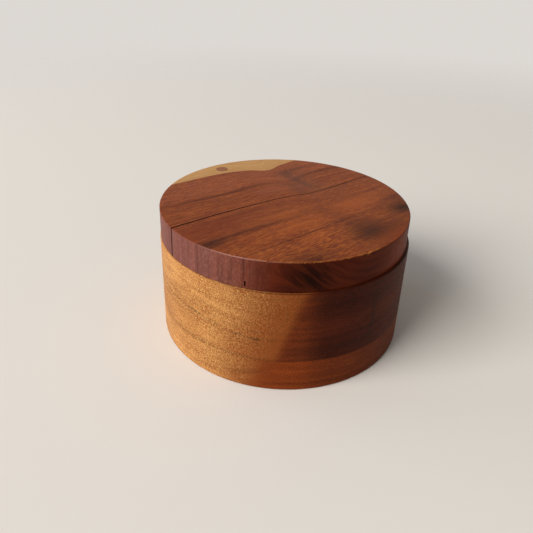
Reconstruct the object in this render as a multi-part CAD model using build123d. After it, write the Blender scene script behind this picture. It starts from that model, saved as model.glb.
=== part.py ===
from build123d import *
import os

# A round hardwood spice box: a bored body, and a flat lid that swivels on a dowel set
# near its edge. A pair of disc magnets opposite the dowel holds the lid shut.
# The origin is the centre of the underside, +Z is up, and the dowel stands on +Y.
# All sizes are in millimetres.

# Body, bored from one block
body_diameter = 120.0
body_height = 49.5
wall_thickness = 15.5
floor_thickness = 9.5
cove_radius = 8.0
rim_inner_round = 1.2
rim_outer_bevel = 0.4
foot_bevel = 0.8

# Lid, one flat board cut round, which sits a little off the body's axis when it is shut
lid_thickness = 14.0
lid_setback = 0.8
lid_offset_x = -0.4
lid_offset_y = 0.3
lid_edge_bevel = 0.4

# Dowel that the lid swivels on, glued into the wall and flush with the lid's top
dowel_diameter = 6.35
dowel_depth = 22.0
dowel_end_bevel = 0.6
dowel_glue_clearance = 0.05
dowel_running_clearance = 0.08

# Disc magnets, one in the rim and one in the lid, each glued into a blind pocket
magnet_diameter = 8.0
magnet_thickness = 3.0
magnet_edge_bevel = 0.3
magnet_recess = 0.3
magnet_glue_clearance = 0.05

# Places worked out from the sizes above
body_radius = body_diameter / 2
cavity_radius = body_radius - wall_thickness
wall_middle = body_radius - wall_thickness / 2
lid_radius = body_radius - lid_setback
lid_underside = body_height
lid_top = lid_underside + lid_thickness
dowel_foot = body_height - dowel_depth


def corner(section, x, z):
    """The corner of a section in the XZ plane that lies nearest to x, z."""
    return section.vertices().sort_by_distance((x, 0, z))[0]


def turned(outline, rounds=(), bevels=()):
    """A solid of revolution about Z from outline points (x, z), with the corners named as
    (x, z, size) in rounds or bevels eased."""
    section = make_face(Polyline(*[(x, 0, z) for x, z in outline], close=True))
    for x, z, radius in rounds:
        section = fillet(corner(section, x, z), radius)
    for x, z, width in bevels:
        section = chamfer(corner(section, x, z), width)
    return revolve(section, Axis.Z)


def drilled(radius, depth, mouth_z, y):
    """The waste of a flat-bottomed hole that goes down from mouth_z, on the Y axis."""
    top_down = (Align.CENTER, Align.CENTER, Align.MAX)
    return Pos(0, y, mouth_z) * Cylinder(radius, depth, align=top_down)


def box_body():
    """The cup: a straight wall, a coved cavity, the dowel's blind bore and the rim magnet's pocket."""
    outline = [
        (0, 0),
        (body_radius, 0),
        (body_radius, body_height),
        (cavity_radius, body_height),
        (cavity_radius, floor_thickness),
        (0, floor_thickness),
    ]
    rounds = [
        (cavity_radius, body_height, rim_inner_round),
        (cavity_radius, floor_thickness, cove_radius),
    ]
    bevels = [
        (body_radius, 0, foot_bevel),
        (body_radius, body_height, rim_outer_bevel),
    ]
    cup = turned(outline, rounds, bevels)
    bore = drilled(dowel_diameter / 2 + dowel_glue_clearance, dowel_depth, body_height, wall_middle)
    pocket = drilled(
        magnet_diameter / 2 + magnet_glue_clearance,
        magnet_thickness + magnet_recess,
        body_height,
        -wall_middle,
    )
    return cup - bore - pocket


def lid():
    """The disc that closes the box, with the dowel's through hole and the lid magnet's pocket."""
    outline = [
        (0, lid_underside),
        (lid_radius, lid_underside),
        (lid_radius, lid_top),
        (0, lid_top),
    ]
    bevels = [
        (lid_radius, lid_underside, lid_edge_bevel),
        (lid_radius, lid_top, lid_edge_bevel),
    ]
    disc = Pos(lid_offset_x, lid_offset_y, 0) * turned(outline, bevels=bevels)
    hole = drilled(dowel_diameter / 2 + dowel_running_clearance, lid_thickness, lid_top, wall_middle)
    pocket_depth = magnet_thickness + magnet_recess
    pocket = drilled(
        magnet_diameter / 2 + magnet_glue_clearance,
        pocket_depth,
        lid_underside + pocket_depth,
        -wall_middle,
    )
    return disc - hole - pocket


def pivot_dowel():
    """The wooden pin, from the bottom of its bore up to the lid's top, with a bevelled lower end."""
    pin = drilled(dowel_diameter / 2, lid_top - dowel_foot, lid_top, wall_middle)
    return chamfer(pin.edges().sort_by(Axis.Z)[0], dowel_end_bevel)


def disc_magnet(underside):
    """One plated disc with bevelled edges, at the pockets' place."""
    disc = drilled(magnet_diameter / 2, magnet_thickness, underside + magnet_thickness, -wall_middle)
    return chamfer(disc.edges().filter_by(GeomType.CIRCLE), magnet_edge_bevel)


def rim_magnet():
    """The magnet in the rim, seated on its pocket's floor just below the rim."""
    return disc_magnet(body_height - magnet_recess - magnet_thickness)


def lid_magnet():
    """The magnet in the lid, seated on its pocket's roof just above the lid's underside."""
    return disc_magnet(lid_underside + magnet_recess)


nodes = {
    "box_body": box_body(),
    "lid": lid(),
    "pivot_dowel": pivot_dowel(),
    "rim_magnet": rim_magnet(),
    "lid_magnet": lid_magnet(),
}

os.makedirs("parts", exist_ok=True)
for name, solid in nodes.items():
    export_step(solid, f"parts/{name}.step")
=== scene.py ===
import math

import bmesh
import bpy
from mathutils import Matrix, Vector, noise


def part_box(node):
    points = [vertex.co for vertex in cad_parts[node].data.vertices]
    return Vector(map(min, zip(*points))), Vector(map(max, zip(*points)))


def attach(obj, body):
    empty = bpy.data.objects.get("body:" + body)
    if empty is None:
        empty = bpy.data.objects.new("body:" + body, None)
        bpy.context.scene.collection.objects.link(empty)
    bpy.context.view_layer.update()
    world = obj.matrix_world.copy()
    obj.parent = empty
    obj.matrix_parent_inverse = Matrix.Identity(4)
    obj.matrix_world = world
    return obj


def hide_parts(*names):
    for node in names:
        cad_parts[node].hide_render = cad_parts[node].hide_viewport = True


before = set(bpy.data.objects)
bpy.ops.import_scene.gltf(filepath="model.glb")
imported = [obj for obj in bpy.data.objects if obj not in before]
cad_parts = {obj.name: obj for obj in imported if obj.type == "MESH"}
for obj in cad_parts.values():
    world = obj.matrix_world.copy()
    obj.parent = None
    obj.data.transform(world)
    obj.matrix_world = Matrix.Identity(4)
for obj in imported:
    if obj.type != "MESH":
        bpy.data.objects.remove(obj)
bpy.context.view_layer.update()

MM = 0.001

# Body: a cup bored and turned from one block of acacia, sanded smooth, eased at its edges
# and oiled. Its wall holds the dowel's blind bore at the back and the magnet's pocket in
# front. The block was flat-sawn: the grain runs along X, and the growth rings lie level.
body_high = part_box("box_body")[1]
pin_low, pin_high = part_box("pivot_dowel")
rim_magnet_low, rim_magnet_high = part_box("rim_magnet")
body_radius = body_high.x
body_height = body_high.z
wall = 15.5 * MM
cavity_radius = body_radius - wall
floor_height = 9.5 * MM
cove_radius = 8 * MM
rim_inner_round = 1.2 * MM
rim_outer_ease = 0.4 * MM
foot_ease = 0.8 * MM
glue_gap = 0.05 * MM
pin_radius = (pin_high.x - pin_low.x) / 2
pin_y = (pin_high.y + pin_low.y) / 2
magnet_radius = (rim_magnet_high.x - rim_magnet_low.x) / 2
magnet_y = (rim_magnet_high.y + rim_magnet_low.y) / 2
lid_seat = (-0.4, 0.3)  # where the shut lid's middle lies on the rim, in millimetres
sanding_wave = 0.05 * MM
sanding_wave_length = 14 * MM
turned_sides = 288
turned_step = 1.6 * MM
overshoot = 1 * MM  # how far a cutter stands out of the face that it cuts
sliver = 0.0001 * MM  # shorter edges and smaller radii count as none


def arc(centre, radius, start, end, steps):
    """Points (r, z) of an arc in a section, from start to end in degrees."""
    turns = [math.radians(start + (end - start) * i / steps) for i in range(steps + 1)]
    return [(centre[0] + radius * math.cos(t), centre[1] + radius * math.sin(t)) for t in turns]


def spaced(outline, step):
    """The outline with points added so that none are further apart than step."""
    points = [outline[0]]
    for start, end in zip(outline, outline[1:]):
        count = max(1, math.ceil(math.dist(start, end) / step))
        for i in range(1, count + 1):
            points.append(tuple(a + (b - a) * i / count for a, b in zip(start, end)))
    return points


def link(name, mesh):
    """Puts a finished bmesh into the scene as an object of this name, and frees it."""
    data = bpy.data.meshes.new(name)
    mesh.to_mesh(data)
    mesh.free()
    piece = bpy.data.objects.new(name, data)
    bpy.context.scene.collection.objects.link(piece)
    return piece


def turned(name, outline, sides, centre=(0, 0), twist=0):
    """A closed turned mesh, from a section (r, z) that starts and ends on its own axis."""
    mesh = bmesh.new()
    turns = [twist + 2 * math.pi * i / sides for i in range(sides)]
    rings = []
    for r, z in outline:
        here = turns if r > sliver else [0]
        points = [(centre[0] + r * math.cos(t), centre[1] + r * math.sin(t), z) for t in here]
        rings.append([mesh.verts.new(point) for point in points])
    for low, high in zip(rings, rings[1:]):
        for i in range(sides):
            j = (i + 1) % sides
            corners = [low[i % len(low)], low[j % len(low)], high[j % len(high)], high[i % len(high)]]
            mesh.faces.new(list(dict.fromkeys(corners)))
    bmesh.ops.recalc_face_normals(mesh, faces=mesh.faces)
    return link(name, mesh)


def hand_sanded(piece, depth, length, seed):
    """Presses the surface in by up to depth, in soft waves, as hand sanding leaves it."""
    shift = Vector((seed, seed * 0.7, seed * 1.3))
    normals = [vertex.normal.copy() for vertex in piece.data.vertices]
    for vertex, normal in zip(piece.data.vertices, normals):
        wave = noise.noise(vertex.co / length + shift) + 0.5 * noise.noise(vertex.co * 3.1 / length + shift)
        vertex.co -= normal * depth * min(1, abs(wave))


def cut(piece, cutter):
    """Takes the cutter's solid out of the piece. It splits the ragged faces and drops the slivers
    that this leaves, so that the mesh stays closed."""
    boolean = piece.modifiers.new("cut", "BOOLEAN")
    boolean.operation = "DIFFERENCE"
    boolean.solver = "EXACT"
    boolean.object = cutter
    bpy.context.view_layer.update()
    shaped = piece.evaluated_get(bpy.context.evaluated_depsgraph_get())
    data = bpy.data.meshes.new_from_object(shaped)
    mesh = bmesh.new()
    mesh.from_mesh(data)
    ragged = [face for face in mesh.faces if len(face.verts) > 4]
    bmesh.ops.triangulate(mesh, faces=ragged)
    bmesh.ops.dissolve_degenerate(mesh, dist=sliver, edges=mesh.edges)
    mesh.to_mesh(data)
    mesh.free()
    piece.modifiers.clear()
    piece.data = data
    bpy.data.objects.remove(cutter)


def hole(radius, low, high, y):
    """The waste of a round hole on the Y axis, from height low to height high, turned a little so
    that its corners never meet the piece's own corners exactly."""
    outline = [(0, low), (radius, low), (radius, high), (0, high)]
    return turned("hole", outline, sides=72, centre=(0, y), twist=0.017)


def finish_edges(piece, material, sharp_from=35):
    """Shades a piece smooth but for its sharp edges, and gives it its one material."""
    piece.data.shade_smooth()
    piece.data.set_sharp_from_angle(angle=math.radians(sharp_from))
    piece.data.materials.clear()
    piece.data.materials.append(material)


body_section = (
    [(0, 0)]
    + arc((body_radius - foot_ease, foot_ease), foot_ease, -90, 0, 6)
    + arc((body_radius - rim_outer_ease, body_height - rim_outer_ease), rim_outer_ease, 0, 90, 5)
    + arc((cavity_radius + rim_inner_round, body_height - rim_inner_round), rim_inner_round, 90, 180, 7)
    + arc((cavity_radius - cove_radius, floor_height + cove_radius), cove_radius, 0, -90, 14)
    + [(0, floor_height)]
)
cup = turned("turned_cup", spaced(body_section, turned_step), turned_sides)
hand_sanded(cup, sanding_wave, sanding_wave_length, seed=3.7)
cut(cup, hole(pin_radius + glue_gap, pin_low.z, body_height + overshoot, pin_y))
cut(cup, hole(magnet_radius + glue_gap, rim_magnet_low.z, body_height + overshoot, magnet_y))


def linear(hex_colour):
    """An sRGB hex colour as linear red, green, blue and alpha."""
    channels = [int(hex_colour[i : i + 2], 16) / 255 for i in (1, 3, 5)]
    return [c / 12.92 if c <= 0.04045 else ((c + 0.055) / 1.055) ** 2.4 for c in channels] + [1.0]


def add(tree, kind, settings, output=0):
    """Adds a node with its properties, curve points, input values and links, and returns one of
    its outputs."""
    made = tree.nodes.new(kind)
    for key, value in settings.items():
        if key == "points":
            made.mapping.use_clip = False
            curve = made.mapping.curves[0].points
            while len(curve) < len(value):
                curve.new(0, 0)
            for point, place in zip(curve, value):
                point.location = place
            made.mapping.update()
        elif isinstance(key, str) and hasattr(made, key):
            setattr(made, key, value)
        elif isinstance(value, bpy.types.NodeSocket):
            tree.links.new(value, made.inputs[key])
        else:
            made.inputs[key].default_value = value
    return made.outputs[output]


def new_material(name):
    """A material with a principled shader, its node tree and that shader."""
    material = bpy.data.materials.new(name)
    material.use_nodes = True
    return material, material.node_tree, material.node_tree.nodes["Principled BSDF"]


def place_in_millimetres(tree):
    """The point on the piece, in millimetres and in the box's own frame."""
    point = add(tree, "ShaderNodeTexCoord", {}, "Object")
    return add(tree, "ShaderNodeVectorMath", {"operation": "SCALE", 0: point, "Scale": 1 / MM})


def place_in_wood(tree, sway, length):
    """The point in millimetres, swayed as grain is, so that the figure goes through the wood."""
    place = place_in_millimetres(tree)
    stretched = add(tree, "ShaderNodeVectorMath", {"operation": "DIVIDE", 0: place, 1: length})
    waves = add(tree, "ShaderNodeTexNoise", {"Vector": stretched, "Scale": 1, "Detail": 2}, 1)
    level = add(tree, "ShaderNodeVectorMath", {"operation": "SUBTRACT", 0: waves, 1: (0.5, 0.5, 0.5)})
    swayed = {"operation": "MULTIPLY_ADD", 0: level, 1: sway, 2: place}
    return add(tree, "ShaderNodeVectorMath", swayed)


def figure(tree, place, size, detail=3, low=0.3, high=0.7):
    """Noise from 0 to 1 whose patches are about this size in millimetres along X, Y and Z."""
    stretched = add(tree, "ShaderNodeVectorMath", {"operation": "DIVIDE", 0: place, 1: size})
    patches = add(tree, "ShaderNodeTexNoise", {"Vector": stretched, "Scale": 1, "Detail": detail})
    return add(tree, "ShaderNodeMapRange", {"Value": patches, 1: low, 2: high})


def spot(tree, place, centre, radii, strength=1):
    """A soft mask round a centre, which falls off over these radii in millimetres."""
    apart = add(tree, "ShaderNodeVectorMath", {"operation": "SUBTRACT", 0: place, 1: centre})
    scaled = add(tree, "ShaderNodeVectorMath", {"operation": "DIVIDE", 0: apart, 1: radii})
    square = add(tree, "ShaderNodeVectorMath", {"operation": "DOT_PRODUCT", 0: scaled, 1: scaled}, 1)
    fall = add(tree, "ShaderNodeMath", {"operation": "POWER", 0: math.exp(-1), 1: square})
    return add(tree, "ShaderNodeMath", {"operation": "MULTIPLY", 0: fall, 1: strength})


def stains(tree, place, marks):
    """Colour layers of soft stains, each from its centre, radii, strength and colour."""
    return [(spot(tree, place, centre, radii, strength), colour) for centre, radii, strength, colour in marks]


def ramp(tree, value, start, end):
    """A smooth step from 0 at start to 1 at end."""
    step = {"interpolation_type": "SMOOTHSTEP", "Value": value, 1: start, 2: end}
    return add(tree, "ShaderNodeMapRange", step)


def times(tree, first, *others):
    """Masks multiplied together."""
    for other in others:
        first = add(tree, "ShaderNodeMath", {"operation": "MULTIPLY", 0: first, 1: other})
    return first


def layered(tree, colour, layers):
    """The colour with each layer's own colour laid over it where that layer's mask says."""
    for mask, layer in layers:
        mix = {"data_type": "RGBA", 0: mask, 6: colour, 7: linear(layer)}
        colour = add(tree, "ShaderNodeMix", mix, 2)
    return colour


def oiled(tree, shader, colour, pores, fibres):
    """Finishes wood with oil: a thin satin film whose dullness varies with the fibres, a little sunk over the
    open pores.
    """
    shader.inputs["IOR"].default_value = 1.47
    shader.inputs["Specular IOR Level"].default_value = 0.045
    tree.links.new(colour, shader.inputs["Base Color"])
    rough = add(tree, "ShaderNodeMapRange", {"Value": fibres, 3: 0.4, 4: 0.52})
    tree.links.new(rough, shader.inputs["Roughness"])
    sunk = add(tree, "ShaderNodeMath", {"operation": "MULTIPLY_ADD", 0: pores, 1: -1, 2: fibres})
    relief = {"Height": sunk, "Strength": 0.5, "Distance": 0.1 * MM}
    tree.links.new(add(tree, "ShaderNodeBump", relief), shader.inputs["Normal"])


def off_centre(tree, centre):
    """How far a point is from an upright axis, and its height, both in millimetres."""
    place = place_in_millimetres(tree)
    flat = add(tree, "ShaderNodeVectorMath", {"operation": "MULTIPLY", 0: place, 1: (1, 1, 0)})
    apart = add(tree, "ShaderNodeVectorMath", {"operation": "DISTANCE", 0: flat, 1: (*centre, 0)}, 1)
    return apart, add(tree, "ShaderNodeSeparateXYZ", {0: place}, 2)


def body_wood():
    """Oiled acacia. It shows golden, flecked sapwood behind, and nearly black-brown heartwood in
    front, which part along one slanting line."""
    material, tree, shader = new_material("oiled_acacia_body")
    place = place_in_wood(tree, (4, 1.4, 1.6), (40, 18, 12))
    x, y, z = [add(tree, "ShaderNodeSeparateXYZ", {0: place}, i) for i in range(3)]

    # The height of each growth layer above the foot. The upper layers climb towards the back,
    # and two dark marks low on the left follow an arch.
    rise = add(
        tree,
        "ShaderNodeFloatCurve",
        {"Value": y, "points": [(-60, -0.5), (-42, -0.5), (-30, 0), (-14, 3), (6, 4.2), (60, 2)]},
    )
    climb = times(tree, rise, ramp(tree, z, 15, 27))
    level = add(tree, "ShaderNodeMath", {"operation": "SUBTRACT", 0: z, 1: climb})
    ripple = figure(tree, place, (5, 4, 40), 2, 0, 1)
    rippled = add(tree, "ShaderNodeMath", {"operation": "MULTIPLY_ADD", 0: ripple, 1: 1.8, 2: level})
    ringed = add(tree, "ShaderNodeCombineXYZ", {0: x, 1: y, 2: level})
    wavy = add(tree, "ShaderNodeCombineXYZ", {0: x, 1: y, 2: rippled})
    arch = add(
        tree,
        "ShaderNodeFloatCurve",
        {"Value": x, "points": [(-60, 4), (-53, 6.4), (-46, 9.7), (-39, 12.6), (-30, 14.1), (60, 17)]},
    )
    off_arch = add(tree, "ShaderNodeMath", {"operation": "SUBTRACT", 0: level, 1: arch})
    arched = add(tree, "ShaderNodeCombineXYZ", {0: x, 1: y, 2: off_arch})
    glow_by_level = [(0, 0.5), (5, 0.9), (11, 1), (16, 0.45), (26, 0.25), (35, 1), (40, 0.9), (50, 0.3)]
    glow = add(tree, "ShaderNodeFloatCurve", {"Value": level, "points": glow_by_level})

    # Heartwood: crisply edged above a low band, softly edged in it, and deepest in front.
    tilt = add(tree, "ShaderNodeMath", {"operation": "MULTIPLY_ADD", 0: z, 1: 0.21, 2: y})
    low_band = ramp(tree, level, 16, 15)
    crisp = ramp(tree, tilt, -38.5, -42)
    soft = ramp(tree, tilt, -32, -44)
    heart = add(tree, "ShaderNodeMix", {"data_type": "FLOAT", 0: low_band, 2: crisp, 3: soft})
    deep = times(tree, heart, ramp(tree, y, -49.5, -55.5))
    toward_front = ramp(tree, tilt, 2, -35)

    # Acacia's pores are about 0.2 mm wide and its fibres finer. Both are drawn coarser here,
    # about 0.5 mm wide, so that they show in the render.
    broad = figure(tree, ringed, (90, 12, 4.5), 5, 0.35, 0.65)
    rings = figure(tree, wavy, (160, 40, 2.2), 5, 0.4, 0.64)
    broken = figure(tree, place, (7, 5, 30), 2, 0.3, 0.6)
    flecks = figure(tree, place, (6, 0.5, 0.55), 3, 0.42, 0.66)
    dashes = figure(tree, place, (8, 0.5, 0.6), 3, 0.46, 0.68)
    specks = figure(tree, place, (3, 0.35, 0.4), 2, 0.45, 0.7)
    pores = figure(tree, place, (7, 0.5, 0.5), 1, 0.62, 0.72)
    heart_cloud = figure(tree, ringed, (24, 12, 3.5), 5, 0.35, 0.65)
    pale = times(tree, ramp(tree, tilt, -44, -12), flecks)
    first_line = spot(tree, wavy, (0, 0, 27.6), (900, 900, 0.75))
    second_line = spot(tree, wavy, (0, 0, 25.4), (900, 900, 0.4))
    upper_line = spot(tree, wavy, (-30, 0, 31.4), (60, 900, 0.45))
    lower_line = spot(tree, wavy, (0, 0, 16.8), (900, 900, 0.6))
    light_layer = spot(tree, ringed, (0, 0, 33.5), (900, 900, 3.6))
    apart, height = off_centre(tree, lid_seat)
    # Painted shade on the strip of rim that the lid leaves bare
    shaded_bare_rim = times(tree, ramp(tree, apart, 59.55, 59.8), ramp(tree, height, 49, 49.3))

    colour = layered(
        tree,
        linear("#ad743e"),
        [
            # Broad golden and brown layers, redder towards the front
            (times(tree, glow, 0.75), "#d99f5f"),
            (times(tree, broad, 0.7), "#925227"),
            (times(tree, toward_front, toward_front, 0.93), "#7d3c17"),
            # Ring lines: a fine set, four dark single ones and the two marks along the arch
            (times(tree, rings, 0.55), "#79401a"),
            (times(tree, first_line, broken, 0.9), "#3c1d0c"),
            (times(tree, second_line, broken, 0.5), "#4d250d"),
            (times(tree, upper_line, broken, 0.7), "#4d250d"),
            (times(tree, lower_line, 0.55), "#4b240f"),
            *stains(
                tree,
                arched,
                [
                    ((-42, 0, 0), (12, 900, 1.3), 0.8, "#582910"),
                    ((-36, 0, -8.6), (14, 900, 0.7), 0.5, "#582910"),
                ],
            ),
            # Pale flecks, dark dashes and specks, and open pores
            (times(tree, pale, 0.55), "#f0bd76"),
            (times(tree, dashes, 0.5), "#6f3912"),
            (times(tree, specks, 0.25), "#6a3815"),
            (times(tree, pores, 0.4), "#30160b"),
            # Heartwood over all of that, deepest in front and redder in its low band
            (times(tree, heart, 0.85), "#602810"),
            (times(tree, heart, heart_cloud, 0.4), "#78361a"),
            (times(tree, deep, 0.95), "#36130a"),
            (times(tree, deep, light_layer, 0.6), "#552211"),
            (times(tree, deep, heart_cloud, 0.4), "#5c2411"),
            (times(tree, heart, low_band, 0.85), "#873d16"),
            (times(tree, deep, low_band, 0.3), "#4f220f"),
            # Two dark clouds and an upright dark streak in the heartwood, and two lighter patches
            *stains(
                tree,
                place,
                [
                    ((-19, -57, 21.5), (17, 9, 4.6), 0.55, "#280e07"),
                    ((-17, -58, 42.6), (16, 9, 2.6), 0.6, "#280e07"),
                    ((-0.8, -60, 31), (1.7, 9, 11), 0.7, "#1d100d"),
                    ((14, -58, 30), (14, 14, 30), 0.55, "#5e2c14"),
                    ((-12, -59, 11), (3.5, 9, 2), 0.5, "#8a4420"),
                ],
            ),
            # Ring lines, flecks and dashes once more, on the heartwood
            (times(tree, rings, heart, 0.4), "#2a110a"),
            (times(tree, flecks, heart, 0.14), "#70351b"),
            (times(tree, dashes, heart, 0.35), "#220c06"),
            # The strip of rim that the lid leaves bare, darkened with painted shade under the lid's edge
            (times(tree, shaded_bare_rim, 0.7), "#2a120b"),
        ],
    )
    oiled(tree, shader, colour, pores, flecks)
    return material


finish_edges(cup, body_wood())
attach(cup, "box")
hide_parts("box_body")


# Magnets: a pair of nickel-plated disc magnets, one glued into the rim and one into the
# lid's underside, a little below the wood. Plating is bright, with fine scuffs from use.
def nickel():
    """Bright nickel plate: a mirror-like metal, dulled in patches by handling. Real scuffs are
    some hundredths of a millimetre wide, and are drawn 0.25 mm wide so that they show."""
    material, tree, shader = new_material("nickel_plating")
    shader.inputs["Base Color"].default_value = linear("#c9c4ba")
    shader.inputs["Metallic"].default_value = 1
    scuffs = figure(tree, place_in_millimetres(tree), (2.5, 0.25, 2.5), 4)
    rough = add(tree, "ShaderNodeMapRange", {"Value": scuffs, 3: 0.16, 4: 0.34})
    tree.links.new(rough, shader.inputs["Roughness"])
    return material


plating = nickel()
for magnet in ("rim_magnet", "lid_magnet"):
    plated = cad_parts[magnet]
    plated.data.materials.clear()
    plated.data.materials.append(plating)


# Dowel: a pin of a darker hardwood, glued into the wall and sanded flush with the lid, which
# turns on it. Its end shows end grain: small rings off its middle, and open pores.
def dowel_wood():
    """Oiled end grain, which drinks the oil and looks darker, most of all at its rim. Its pores
    are drawn 0.3 mm wide, coarser than real ones, so that they show."""
    material, tree, shader = new_material("oiled_dowel_end_grain")
    place = place_in_wood(tree, (0.6, 0.6, 2), (3, 3, 30))
    pith = (2.1, pin_y / MM + 1.2, 0)
    away = add(tree, "ShaderNodeVectorMath", {"operation": "SUBTRACT", 0: place, 1: pith})
    flat = add(tree, "ShaderNodeVectorMath", {"operation": "MULTIPLY", 0: away, 1: (1, 1, 0)})
    reach = add(tree, "ShaderNodeVectorMath", {"operation": "LENGTH", 0: flat}, 1)
    rings = add(tree, "ShaderNodeMath", {"operation": "PINGPONG", 0: reach, 1: 0.45})
    pores = figure(tree, place, (0.3, 0.3, 6), 1, 0.6, 0.7)
    fibres = figure(tree, place, (0.5, 0.5, 12), 2)
    middle = spot(tree, place, (0, pin_y / MM, 0), (3.4, 3.4, 900))
    rim = ramp(tree, middle, 0.5, 0.38)
    colour = layered(
        tree,
        linear("#976549"),
        [
            (times(tree, rings, 0.9), "#6d412b"),
            (times(tree, fibres, 0.3), "#a06c4b"),
            (times(tree, pores, 0.6), "#3d2116"),
            (times(tree, rim, 0.75), "#3b2017"),
        ],
    )
    oiled(tree, shader, colour, pores, fibres)
    return material


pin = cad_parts["pivot_dowel"]
pin.data.materials.clear()
pin.data.materials.append(dowel_wood())

# Lid: a thick disc of acacia heartwood with its rings on edge and a strip of sapwood at the
# back. A drying check runs along the grain, right across the top and down the left edge.
lid_low, lid_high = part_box("lid")
lid_magnet_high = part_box("lid_magnet")[1]
lid_centre = (lid_seat[0] * MM, lid_seat[1] * MM)
lid_radius = body_radius - 0.8 * MM
lid_edge_ease = 0.4 * MM
running_gap = 0.08 * MM

# Three grain lines on the top, as x and y in millimetres: the drying check, a dark streak
# behind it and the sapwood's edge. The last two dip round the knot at x = 20.
check_path = [
    (-60, 6.8), (-40, 6.4), (-20, 5.2), (0, 3.3), (8, 1.7),
    (14, -0.4), (20, -0.9), (40, -1.4), (60, -1.4),
]
streak_path = [
    (-60, 27.6), (-41, 25.6), (-16, 22.6), (2, 22.4), (10, 20),
    (20, 16.2), (30, 19.3), (46, 18.7), (60, 16.5),
]
sapwood_path = [
    (-60, 52), (-33, 49), (-6, 47), (2.5, 45.2), (10, 41.9),
    (20, 36.4), (29, 38.5), (44, 40), (60, 41),
]

lid_section = (
    [(0, lid_low.z)]
    + arc((lid_radius - lid_edge_ease, lid_low.z + lid_edge_ease), lid_edge_ease, -90, 0, 5)
    + arc((lid_radius - lid_edge_ease, lid_high.z - lid_edge_ease), lid_edge_ease, 0, 90, 5)
    + [(0, lid_high.z)]
)
disc = turned("lid_disc", spaced(lid_section, turned_step), turned_sides, lid_centre)
hand_sanded(disc, sanding_wave, sanding_wave_length, seed=9.2)
cut(disc, hole(pin_radius + running_gap, lid_low.z - overshoot, lid_high.z + overshoot, pin_y))
cut(disc, hole(magnet_radius + glue_gap, lid_low.z - overshoot, lid_magnet_high.z, magnet_y))


def follow(path, x):
    """The y of a path at x, in straight runs between its points."""
    for (x0, y0), (x1, y1) in zip(path, path[1:]):
        if x0 <= x <= x1:
            return y0 + (y1 - y0) * (x - x0) / (x1 - x0)
    return path[-1][1]


def blade(name, sections):
    """A closed thin wedge through triangular sections, each of three points in millimetres."""
    mesh = bmesh.new()
    rows = [[mesh.verts.new(Vector(point) * MM) for point in section] for section in sections]
    for low, high in zip(rows, rows[1:]):
        for i in range(3):
            j = (i + 1) % 3
            mesh.faces.new([low[i], low[j], high[j], high[i]])
    mesh.faces.new(rows[0][::-1])
    mesh.faces.new(rows[-1])
    bmesh.ops.recalc_face_normals(mesh, faces=mesh.faces)
    return link(name, mesh)


def outward_at(turn):
    """The level direction out of the middle at a turn in degrees."""
    return Vector((math.cos(math.radians(turn)), math.sin(math.radians(turn)), 0))


def check_on_top(reach, proud):
    """The check across the lid, in millimetres: widest at the left, a hairline at the right."""
    top = lid_high.z / MM
    sections = []
    for step in range(-2 * reach, 2 * reach + 1):
        x = step / 2
        slow_wander = 0.25 * noise.noise(Vector((x / 2.3, 4.1, 0)))
        quick_wander = 0.12 * noise.noise(Vector((x / 0.7, 8.4, 0)))
        y = follow(check_path, x) + slow_wander + quick_wander
        open_share = 0.5 - 0.5 * x / reach
        half = 0.08 + 0.14 * open_share + 0.05 * noise.noise(Vector((x / 1.7, 0, 2.2)))
        depth = 0.35 + 1.1 * open_share
        mouth = half * 1.5  # the wedge goes on widening where it stands out of the wood
        left = (x, y - mouth, top + proud)
        right = (x, y + mouth, top + proud)
        sections.append([left, right, (x, y, top - depth)])
    return blade("check_on_top", sections)


def check_on_edge(turn, half, depth, low, high, proud=0.4):
    """A check down the lid's edge, at a turn in degrees, between two heights in millimetres."""
    sections = []
    steps = max(4, math.ceil((high - low) / 0.6))
    rim = lid_radius / MM
    outward = outward_at(turn)
    along = Vector((-outward.y, outward.x, 0))
    mouth = half * 1.4
    for i in range(steps + 1):
        z = low + (high - low) * i / steps
        wander = 0.12 * noise.noise(Vector((z / 1.9, turn, 0)))
        middle = Vector((*lid_seat, z)) + along * wander
        left = middle + outward * (rim + proud) - along * mouth
        right = middle + outward * (rim + proud) + along * mouth
        sections.append([left, right, middle + outward * (rim - depth)])
    return blade("check_on_edge", sections)


lid_foot = lid_low.z / MM
lid_face = lid_high.z / MM
cut(disc, check_on_top(reach=61, proud=0.4))
cut(disc, check_on_edge(turn=173.4, half=0.24, depth=1.3, low=lid_foot - 0.6, high=lid_face + 0.6))
cut(disc, check_on_edge(turn=-147, half=0.1, depth=0.5, low=53.5, high=64))
cut(disc, check_on_edge(turn=-146.6, half=0.32, depth=1.6, low=50.6, high=53.2))


def chip(turn, inset, size):
    """The waste of a small chip out of the lid's upper edge, rough as torn fibres are."""
    mesh = bmesh.new()
    bmesh.ops.create_icosphere(mesh, subdivisions=3, radius=size)
    middle = Vector((*lid_centre, lid_high.z))
    outward = outward_at(turn)
    for vertex in mesh.verts:
        rough = 1 + 0.45 * noise.noise(vertex.co / size * 1.7 + outward * 9)
        stretched = Vector((vertex.co.x * 1.7, vertex.co.y, vertex.co.z * 0.6)) * rough
        vertex.co = middle + outward * (lid_radius - inset) + stretched
    return link("chip", mesh)


cut(disc, chip(turn=-137.5, inset=0.2 * MM, size=0.6 * MM))
cut(disc, chip(turn=-97, inset=0.7 * MM, size=0.7 * MM))
cut(disc, chip(turn=-121, inset=-0.1 * MM, size=0.5 * MM))
cut(disc, chip(turn=-152, inset=0, size=0.45 * MM))


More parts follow.
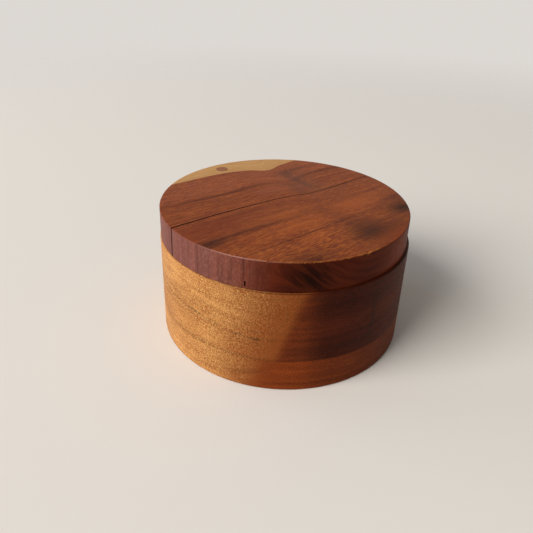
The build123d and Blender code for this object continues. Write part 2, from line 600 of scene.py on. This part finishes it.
def lid_wood():
    """Oiled acacia heartwood. It shows a red-brown top with streaks bent round a knot, greyer
    end grain at the left, a front edge painted near-black as painted shade, and pale sapwood at the back."""
    material, tree, shader = new_material("oiled_acacia_lid")
    place = place_in_wood(tree, (4, 1.3, 3), (34, 15, 24))
    x, y, z = [add(tree, "ShaderNodeSeparateXYZ", {0: place}, i) for i in range(3)]

    # Which growth ring the point is in, counted in millimetres from the check: 20 at the streak
    # and 44 at the sapwood. At the front edge the rings slant with height.
    near, middle, far = [
        add(tree, "ShaderNodeFloatCurve", {"Value": x, "points": path})
        for path in (check_path, streak_path, sapwood_path)
    ]
    before_streak = add(tree, "ShaderNodeMapRange", {"Value": y, 1: near, 2: middle, 3: 0, 4: 20})
    before_sapwood = add(tree, "ShaderNodeMapRange", {"Value": y, 1: middle, 2: far, 3: 0, 4: 24})
    past_sapwood = add(tree, "ShaderNodeMath", {"operation": "SUBTRACT", 0: y, 1: far})
    in_sapwood = add(tree, "ShaderNodeMath", {"operation": "MAXIMUM", 0: past_sapwood, 1: 0})
    bend = times(tree, near, ramp(tree, y, -34, -12))
    before_check = add(tree, "ShaderNodeMath", {"operation": "SUBTRACT", 0: y, 1: bend})
    in_front = add(tree, "ShaderNodeMath", {"operation": "MINIMUM", 0: before_check, 1: 0})
    drop = add(tree, "ShaderNodeMapRange", {"Value": z, 1: 49.5, 2: 63.5, 3: 8, 4: 0})
    slant = times(tree, drop, ramp(tree, y, -38, -46))
    ring = in_front
    for share in (before_streak, before_sapwood, in_sapwood, slant):
        ring = add(tree, "ShaderNodeMath", {"operation": "ADD", 0: ring, 1: share})
    grown = add(tree, "ShaderNodeCombineXYZ", {0: x, 1: ring, 2: z})

    # End grain shows where the surface faces along X, and painted shade darkens the edge where it faces
    # forward.
    facing = add(tree, "ShaderNodeTexCoord", {}, "Normal")
    along_grain = add(tree, "ShaderNodeSeparateXYZ", {0: facing}, 0)
    end_grain = times(tree, along_grain, along_grain)
    forward = add(tree, "ShaderNodeSeparateXYZ", {0: facing}, 1)
    forward_shade = ramp(tree, forward, -0.4, -0.75)

    # As in the body, pores and fibres are drawn about 0.5 mm wide, coarser than real ones.
    broad = figure(tree, grown, (70, 5, 40), 5, 0.36, 0.64)
    slow = figure(tree, grown, (38, 16, 30), 2)
    rings = figure(tree, grown, (120, 1.3, 60), 5, 0.42, 0.66)
    streaks = figure(tree, grown, (26, 1.6, 9), 4, 0.44, 0.66)
    flecks = figure(tree, grown, (3.4, 0.6, 1.6), 2, 0.45, 0.66)
    dashes = figure(tree, grown, (6, 0.45, 1.2), 2, 0.48, 0.68)
    specks = figure(tree, place, (1.6, 0.6, 0.8), 2, 0.45, 0.7)
    pores = figure(tree, grown, (5, 0.45, 0.9), 1, 0.62, 0.72)
    lively = spot(tree, place, (-16, -42, 64), (36, 18, 1.5))
    sap = ramp(tree, ring, 43.6, 44.4)
    rear = ramp(tree, ring, 20.5, 26)
    apart, height = off_centre(tree, lid_seat)
    worn = times(
        tree,
        ramp(tree, apart, 57.9, 59),
        ramp(tree, height, 62.9, 63.3),
        ramp(tree, y, -34, -52),
        ramp(tree, x, 14, -4),
    )
    # A painted highlight where the upper rim catches the light at the left
    painted_rim_glint = times(
        tree,
        ramp(tree, apart, 58.8, 59.05),
        ramp(tree, height, 62.9, 63.2),
        spot(tree, place, (-50, -29, 63), (13, 13, 900)),
    )

    colour = layered(
        tree,
        linear("#843f20"),
        [
            # Broad layers, ring lines and streaks, a pinker rear half, then flecks and pores
            (times(tree, broad, 0.6), "#642a19"),
            (times(tree, slow, 0.35), "#974d24"),
            (times(tree, rings, 0.45), "#4c1f13"),
            (times(tree, rear, 0.6), "#8e4c34"),
            (times(tree, streaks, 0.4), "#a65a2d"),
            (times(tree, flecks, 0.36), "#b06a3a"),
            (times(tree, dashes, 0.45), "#4a1f0f"),
            (times(tree, specks, 0.42), "#471d0f"),
            (times(tree, pores, 0.45), "#28110a"),
            # Darker ground at the left and before the check
            *stains(tree, place, [((-50, -4, 62), (24, 8, 40), 0.6, "#6a2c18")]),
            *stains(tree, grown, [((-25, -5, 60), (22, 2.2, 900), 0.4, "#541f14")]),
            # A dark patch and the lighter ones between the streaks
            *stains(
                tree,
                place,
                [
                    ((-24, -32, 62), (9, 2.2, 40), 0.45, "#5c2415"),
                    ((-10, -11, 62), (14, 2.5, 30), 0.5, "#9c5428"),
                    ((-12, -24, 62), (18, 5, 30), 0.4, "#9c5024"),
                    ((-15, -35, 62), (10, 4, 30), 0.4, "#a15426"),
                    ((24, -22, 62), (13, 6, 30), 0.55, "#a05428"),
                    ((4, 14, 62), (9, 5, 30), 0.4, "#94533a"),
                ],
            ),
            # Dark streaks along the rings
            *stains(
                tree,
                grown,
                [
                    ((-22, 20, 60), (34, 1.2, 900), 0.7, "#3c1910"),
                    ((43, 20, 60), (20, 1.2, 900), 0.6, "#3b1c15"),
                    ((-36, -20.6, 60), (32, 1.0, 900), 0.65, "#3a170e"),
                ],
            ),
            # A fine dark line, a stain at the left edge, and the shadowy figure round the knot
            *stains(
                tree,
                place,
                [
                    ((-14, -31.6, 60), (40, 0.5, 900), 0.65, "#3a170e"),
                    ((-53, -15.5, 62), (7, 3.2, 900), 0.75, "#2e130e"),
                    ((25, 27, 62), (5, 4.5, 40), 0.6, "#45281d"),
                    ((36, 29.4, 62), (9, 1.5, 40), 0.65, "#45281d"),
                    ((22, 16.5, 62), (3.2, 2.2, 40), 0.5, "#4a2d22"),
                    ((22, 20, 62), (2.6, 8, 40), 0.45, "#45281d"),
                    ((22.5, 8, 62), (2.6, 5, 40), 0.4, "#45281d"),
                    ((14, 6, 62), (3.2, 6, 40), 0.45, "#4f3024"),
                    ((22, 10, 62), (11, 16, 40), 0.25, "#6b4a3a"),
                ],
            ),
            # Brighter flecks towards the front
            (times(tree, flecks, lively, 0.45), "#b9682e"),
            # Smoky smudges on the right-hand front of the top
            *stains(
                tree,
                place,
                [
                    ((16, -49, 64), (18, 8, 3), 0.7, "#432010"),
                    ((8, -46, 64), (8, 7, 3), 0.85, "#301c0e"),
                    ((7, -32, 64), (4.5, 16, 20), 0.4, "#5c2d1c"),
                    ((12, -39, 64), (9, 7, 3), 0.45, "#43200f"),
                    ((40, -39, 64), (9, 6, 3), 0.95, "#291309"),
                    ((48, -30, 64), (6, 5, 3), 0.5, "#2a1713"),
                ],
            ),
            # End grain: greyer, with its own flecks and ring lines. Its grey-purple cast is painted sheen
            (times(tree, end_grain, 0.85), "#724640"),
            (times(tree, end_grain, flecks, 0.3), "#94655c"),
            (times(tree, end_grain, rings, 0.42), "#3d1c18"),
            # The edge that faces forward: painted shade makes it near-black, darkest at the left, with a
            # redder patch at the right
            (times(tree, forward_shade, 0.92), "#441306"),
            *stains(
                tree,
                place,
                [
                    ((-32, -50, 55.5), (12, 8, 10), 0.97, "#190602"),
                    ((-10, -60, 55), (14, 4, 8), 0.55, "#2b0d05"),
                    ((17, -57, 56), (13, 7, 12), 0.75, "#7e3513"),
                ],
            ),
            (times(tree, forward_shade, streaks, 0.2), "#7a3217"),
            # The upper rim: a painted highlight along its edge at the left, worn bright in front
            (times(tree, painted_rim_glint, 0.4), "#b08a84"),
            (times(tree, worn, 0.25), "#a45a2c"),
            (times(tree, worn, flecks, 0.3), "#cd8544"),
            # Fresh, paler wood in the chip on the front edge, with painted light over the shade inside the
            # chip
            *stains(tree, place, [((-7.6, -58.3, 63), (1.1, 1.1, 0.8), 0.6, "#b8733c")]),
            # Pale sapwood at the back, with the same figure in its own colours
            (sap, "#c09460"),
            (times(tree, sap, broad, 0.45), "#a97a49"),
            (times(tree, sap, rings, 0.25), "#96693c"),
            (times(tree, sap, dashes, 0.25), "#8f6238"),
            (times(tree, sap, pores, 0.3), "#6b4422"),
            # Dirt in the check
            *stains(
                tree,
                grown,
                [
                    ((-60, 0, 60), (75, 0.55, 900), 0.9, "#160a07"),
                    ((40, 0, 60), (50, 0.45, 900), 0.7, "#25130d"),
                ],
            ),
        ],
    )
    oiled(tree, shader, colour, pores, flecks)
    return material


finish_edges(disc, lid_wood())
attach(disc, "lid")
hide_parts("lid")

# Studio: a pale seamless floor, one large soft lamp on the left like a window, a weaker and
# cooler one behind on the left for the sheen on the wood, and even light from all round.
floor_radius = 1.1
floor_fade_from = 0.3
floor_sides = 96
floor_drop = 0.02 * MM  # keeps the floor's face off the box's underside
floor_mesh = bpy.data.meshes.new("pale_floor")
floor_turns = [2 * math.pi * i / floor_sides for i in range(floor_sides)]
floor_rim = [(floor_radius * math.cos(t), floor_radius * math.sin(t), 0) for t in floor_turns]
floor_mesh.from_pydata(floor_rim, [], [range(floor_sides)])
floor = bpy.data.objects.new("pale_floor", floor_mesh)
floor.location.z = -floor_drop
bpy.context.scene.collection.objects.link(floor)


def pale_paper():
    """Matt white-grey paper that fades into the pale room round it, so that no edge is seen."""
    material, tree, shader = new_material("pale_matt_paper")
    shader.inputs["Base Color"].default_value = linear("#dddad5")
    shader.inputs["Roughness"].default_value = 0.9
    shader.inputs["Specular IOR Level"].default_value = 0.1
    point = add(tree, "ShaderNodeTexCoord", {}, "Object")
    reach = add(tree, "ShaderNodeVectorMath", {"operation": "LENGTH", 0: point}, 1)
    tree.links.new(ramp(tree, reach, floor_radius * 0.98, floor_fade_from), shader.inputs["Alpha"])
    return material


floor_mesh.materials.append(pale_paper())

# The room lights the box dimly, but looks as pale as the floor to the camera and in gloss.
room_light = 0.28
room_seen = 0.72
world = bpy.data.worlds.new("soft_room")
bpy.context.scene.world = world
world.use_nodes = True
room = world.node_tree
rays = room.nodes.new("ShaderNodeLightPath").outputs
seen = rays["Is Camera Ray"]
for kind_of_ray in ("Is Glossy Ray", "Is Transmission Ray"):
    seen = add(room, "ShaderNodeMath", {"operation": "MAXIMUM", 0: seen, 1: rays[kind_of_ray]})
strength = add(room, "ShaderNodeMapRange", {"Value": seen, 3: room_light, 4: room_seen})
room.links.new(strength, room.nodes["Background"].inputs["Strength"])
room.nodes["Background"].inputs["Color"].default_value = linear("#fffaf4")


def lamp(name, turn, height, distance, size, power, colour):
    """A soft square lamp that faces the box, at a turn about it and a height in degrees."""
    light = bpy.data.lights.new(name, "AREA")
    light.shape = "SQUARE"
    light.size = size
    light.energy = power
    light.color = linear(colour)[:3]
    holder = bpy.data.objects.new(name, light)
    toward = outward_at(turn) * math.cos(math.radians(height))
    toward.z = math.sin(math.radians(height))
    holder.location = Vector((0, 0, body_height / 2)) + toward * distance
    holder.rotation_mode = "QUATERNION"
    holder.rotation_quaternion = toward.to_track_quat("Z", "Y")
    bpy.context.scene.collection.objects.link(holder)


lamp("window", turn=172, height=34, distance=5.0, size=3.4, power=345, colour="#fffaf4")
lamp("sheen", turn=122, height=18, distance=5.0, size=2.5, power=54, colour="#dfe9ff")

# Camera: where the photograph was taken from, a little to the left of the front and above
# the box, with the lens that its perspective gives and the small shift that its crop gives.
view_from = Vector((-159.19, -170.67, 165.29)) * MM
view_turn = math.radians(-40.85)
view_fall = math.radians(26.34)
view_roll = math.radians(1.94)
camera = bpy.data.objects.new("camera", bpy.data.cameras.new("camera"))
bpy.context.scene.collection.objects.link(camera)
bpy.context.scene.camera = camera
camera.data.sensor_width = 36
camera.data.lens = 35.669
camera.data.shift_y = -0.0779
level_turn = Matrix.Rotation(view_turn, 4, "Z")
look_down = Matrix.Rotation(math.radians(90) - view_fall, 4, "X")
tilt_head = Matrix.Rotation(view_roll, 4, "Z")
camera.matrix_world = Matrix.Translation(view_from) @ level_turn @ look_down @ tilt_head

bpy.context.scene.view_settings.view_transform = "Standard"
